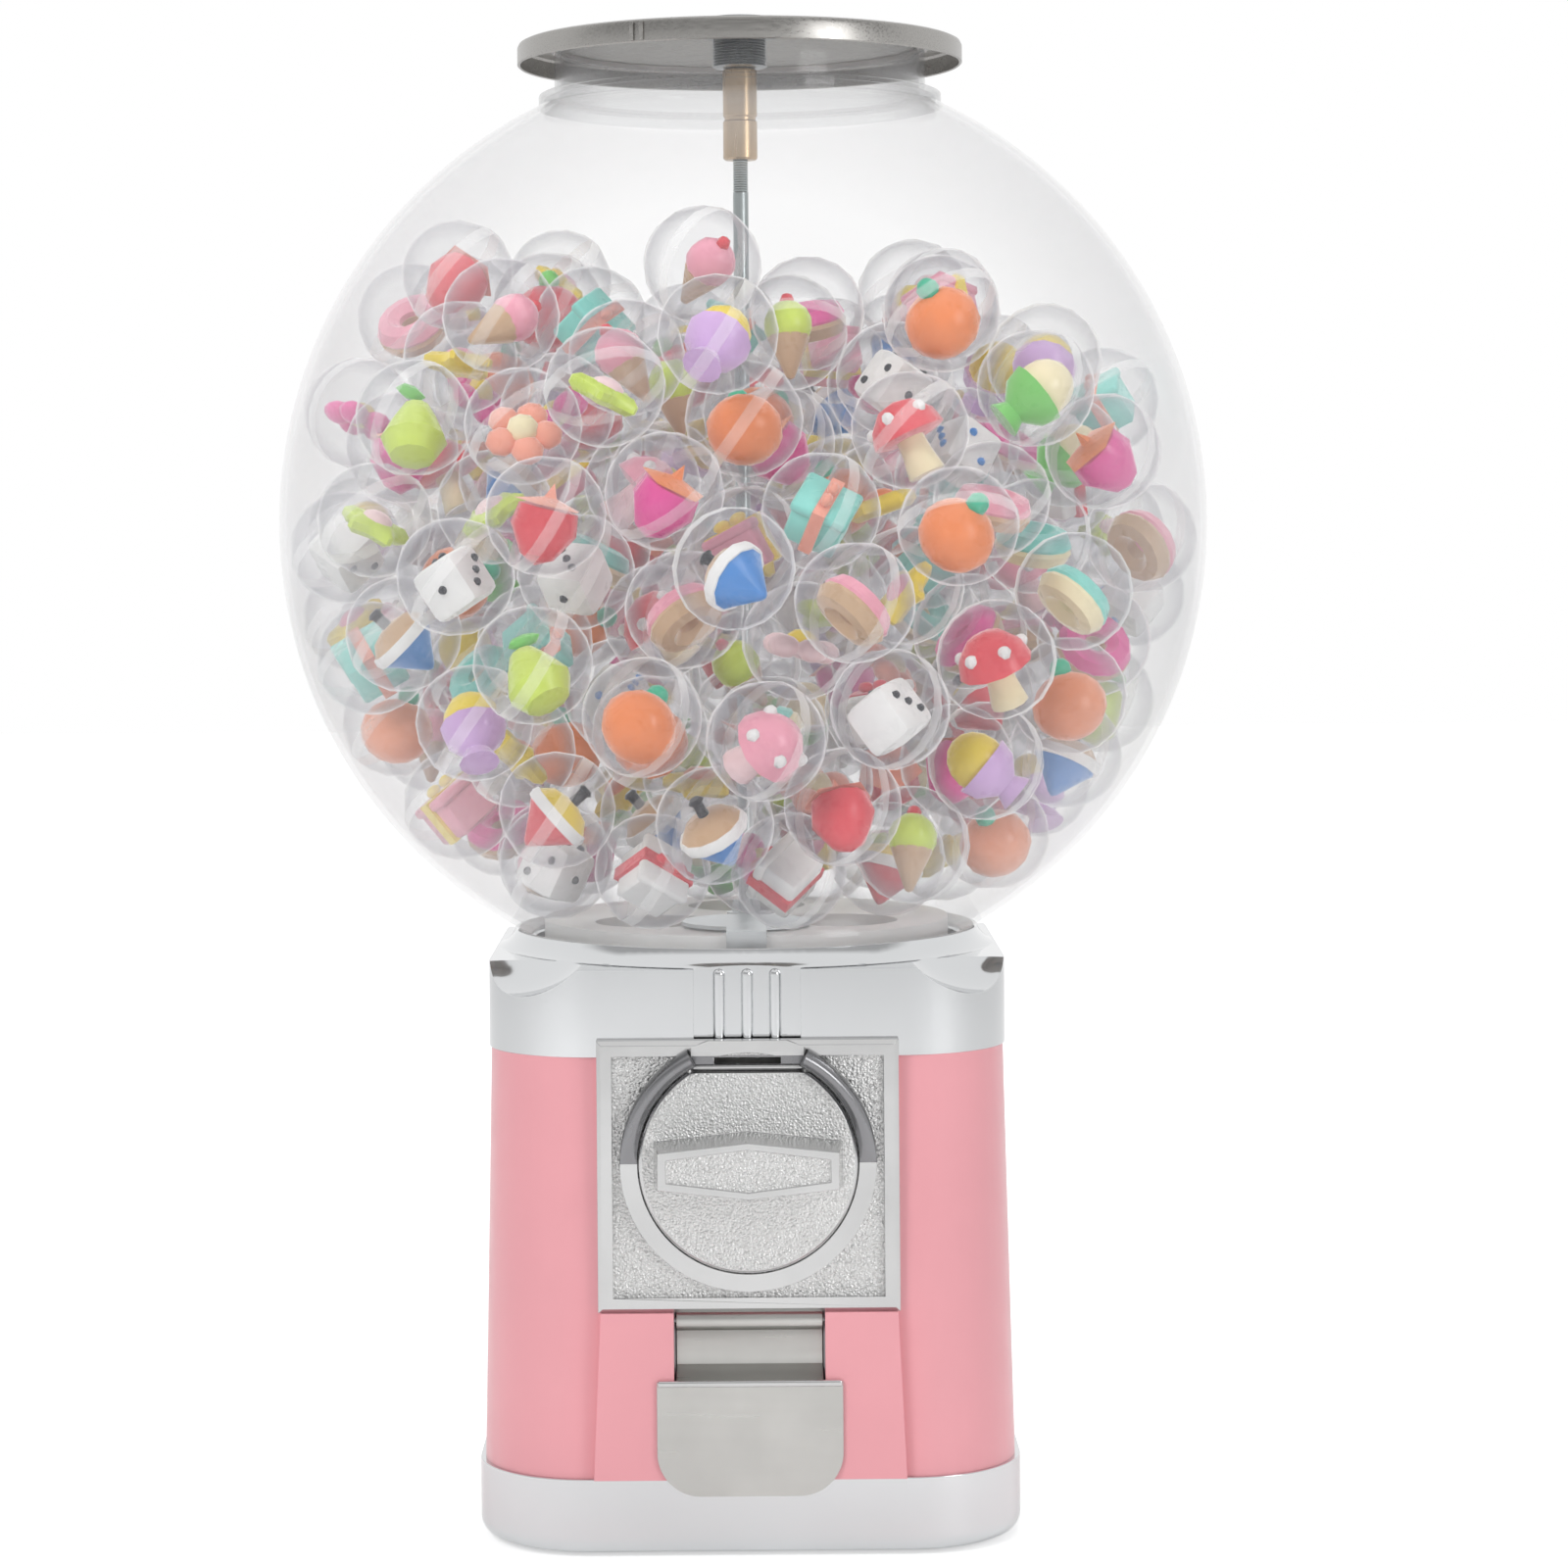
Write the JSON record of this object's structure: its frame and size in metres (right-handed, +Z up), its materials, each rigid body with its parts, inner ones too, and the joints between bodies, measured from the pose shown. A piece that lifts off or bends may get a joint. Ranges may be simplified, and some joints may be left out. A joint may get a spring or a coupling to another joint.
{
  "type": "gumball machine",
  "caption": "Globe vending machine for toy capsules: clear globe, steel lid, chrome cap and base, painted body, turn-knob coin mechanism and hinged prize flap.",
  "frame": {"origin": "centre of the footprint on the floor", "axes": "+Z up, -Y towards the customer, +X to the right"},
  "size_m": [0.3849, 0.385, 0.6142],
  "materials": {
    "chrome": "polished",
    "cast_metal": "satin",
    "stainless": "satin",
    "pink_paint": "gloss",
    "clear_shell": "gloss",
    "capsule_clear": "gloss",
    "brass": "satin",
    "steel": "satin",
    "rubber": "matte",
    "inner_plastic": "satin",
    "prize_orange": "gloss",
    "prize_white": "gloss",
    "prize_magenta": "gloss",
    "prize_green": "gloss",
    "prize_blue": "gloss"
  },
  "bodies": {
    "stand": {"base_pan": "chrome", "body_shell": "pink_paint", "capsule_cups": "capsule_clear", "capsule_lids": "capsule_clear", "centre_rod": "steel", "coin_box": "inner_plastic", "coin_plate": "cast_metal", "coin_slide": "steel", "drop_guard": "steel", "flap_pin": "steel", "foot_screws": "steel", "frame_screws": "steel", "globe": "clear_shell", "globe_gasket": "rubber", "guard_screws": "steel", "hopper_plate": "inner_plastic", "mech_frame": "steel", "neck_gasket": "rubber", "pawl_spring": "steel", "plate_nuts": "steel", "plate_studs": "steel", "prize_blocks": "prize_white", "prize_chute": "inner_plastic", "prize_cones": "prize_blue", "prize_fruits": "prize_orange", "prize_rings": "prize_green", "prize_stars": "prize_magenta", "rod_nuts": "steel", "rod_sleeve": "brass", "rod_washers": "steel", "rubber_feet": "rubber", "shaft_bush": "brass", "top_cap": "chrome", "wheel_bush": "brass"},
    "knob": {"coin_knob": "cast_metal", "knob_shaft": "steel", "coin_carrier": "steel", "ratchet_wheel": "steel", "drive_pinion": "inner_plastic", "shaft_clip": "steel"},
    "wheel": {"dispensing_wheel": "inner_plastic", "crown_gear": "inner_plastic"},
    "flap": {"flap_door": "stainless"},
    "lid": {"lid_cover": "stainless", "lock_barrel": "steel", "lock_nut": "steel"},
    "lock": {"lock_core": "steel"}
  },
  "joints": [
    {"name": "knob_turn", "type": "hinge", "parent": "stand", "child": "knob", "pos_m": [0, -0.11, 0.1544], "axis": [0, 1, 0], "continuous": true, "deforming": ["pawl_spring"]},
    {"name": "wheel_turn", "type": "hinge", "parent": "stand", "child": "wheel", "pos_m": [0, 0, 0.2], "axis": [0, 0, 1], "continuous": true},
    {"name": "flap_swing", "type": "hinge", "parent": "stand", "child": "flap", "pos_m": [0, -0.1, 0.0915], "axis": [-1, 0, 0], "range_deg": [0, 75]},
    {"name": "lid_lift", "type": "slide", "parent": "stand", "child": "lid", "axis": [0, 0, 1], "range_m": [0, 0.12]},
    {"name": "lock_turn", "type": "hinge", "parent": "lid", "child": "lock", "pos_m": [0, 0, 0.61], "axis": [0, 0, 1], "range_deg": [0, 90]}
  ],
  "couplings": [
    {"joint": "wheel_turn", "follows": "knob_turn", "ratio": 0.33333}
  ]
}
